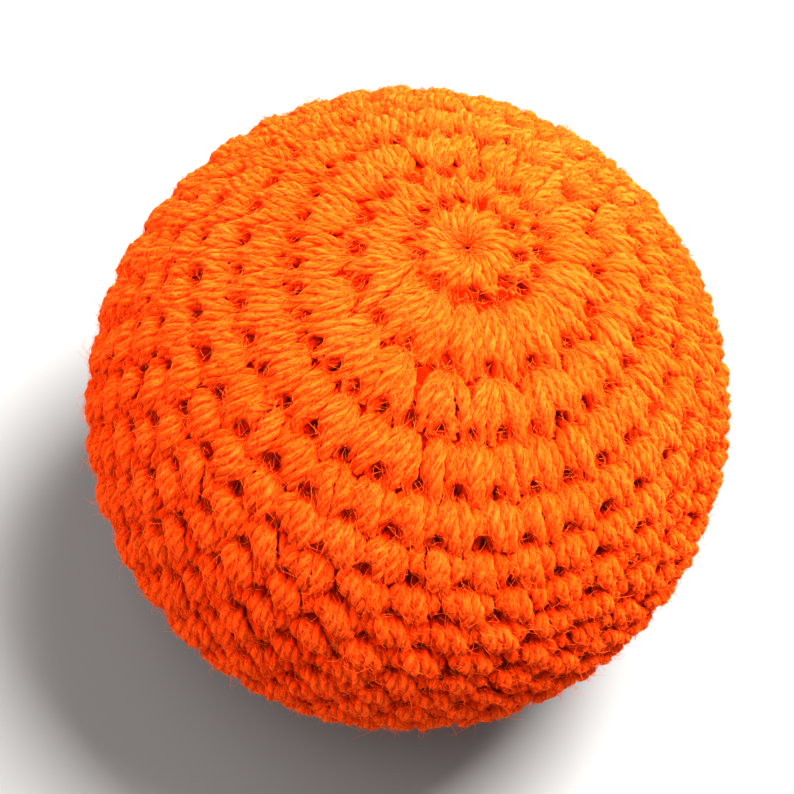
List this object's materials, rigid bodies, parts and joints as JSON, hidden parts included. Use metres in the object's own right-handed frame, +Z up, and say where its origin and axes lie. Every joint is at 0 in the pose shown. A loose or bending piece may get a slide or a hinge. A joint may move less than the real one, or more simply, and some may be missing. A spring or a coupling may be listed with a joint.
{
  "type": "crocheted footbag",
  "caption": "Round kicking bag: a crocheted wool cover worked in a spiral, over a tied cloth liner filled with plastic pellets, resting on a small flat foot.",
  "frame": {"origin": "middle of the flat foot that the bag rests on, below the crown", "axes": "+Z up through the crown, where the crochet starts; the spiral leaves the first round towards -Y; X and Y otherwise free"},
  "size_m": [0.062, 0.062, 0.0604],
  "materials": {
    "wool": "plied orange wool yarn, matt, with short stray fibres",
    "liner_cloth": "thin undyed cotton cloth",
    "tie_thread": "waxed cotton thread",
    "pellet_plastic": "milky plastic"
  },
  "bodies": {
    "root": {"crochet_cover": "wool", "starting_ring": "wool", "closing_ring": "wool", "liner_bag": "liner_cloth", "liner_tie": "tie_thread", "pellet_filling": "pellet_plastic", "pellet_01": "pellet_plastic", "pellet_02": "pellet_plastic", "pellet_03": "pellet_plastic", "pellet_04": "pellet_plastic", "pellet_05": "pellet_plastic", "pellet_06": "pellet_plastic", "pellet_07": "pellet_plastic", "pellet_08": "pellet_plastic", "pellet_09": "pellet_plastic", "pellet_10": "pellet_plastic", "pellet_11": "pellet_plastic", "pellet_12": "pellet_plastic", "pellet_13": "pellet_plastic", "pellet_14": "pellet_plastic", "pellet_15": "pellet_plastic", "pellet_16": "pellet_plastic", "pellet_17": "pellet_plastic", "pellet_18": "pellet_plastic", "pellet_19": "pellet_plastic", "pellet_20": "pellet_plastic", "pellet_21": "pellet_plastic", "pellet_22": "pellet_plastic", "pellet_23": "pellet_plastic", "pellet_24": "pellet_plastic", "pellet_25": "pellet_plastic", "pellet_26": "pellet_plastic", "pellet_27": "pellet_plastic", "pellet_28": "pellet_plastic", "pellet_29": "pellet_plastic", "pellet_30": "pellet_plastic", "pellet_31": "pellet_plastic", "pellet_32": "pellet_plastic", "pellet_33": "pellet_plastic", "pellet_34": "pellet_plastic", "pellet_35": "pellet_plastic", "pellet_36": "pellet_plastic"}
  },
  "joints": []
}
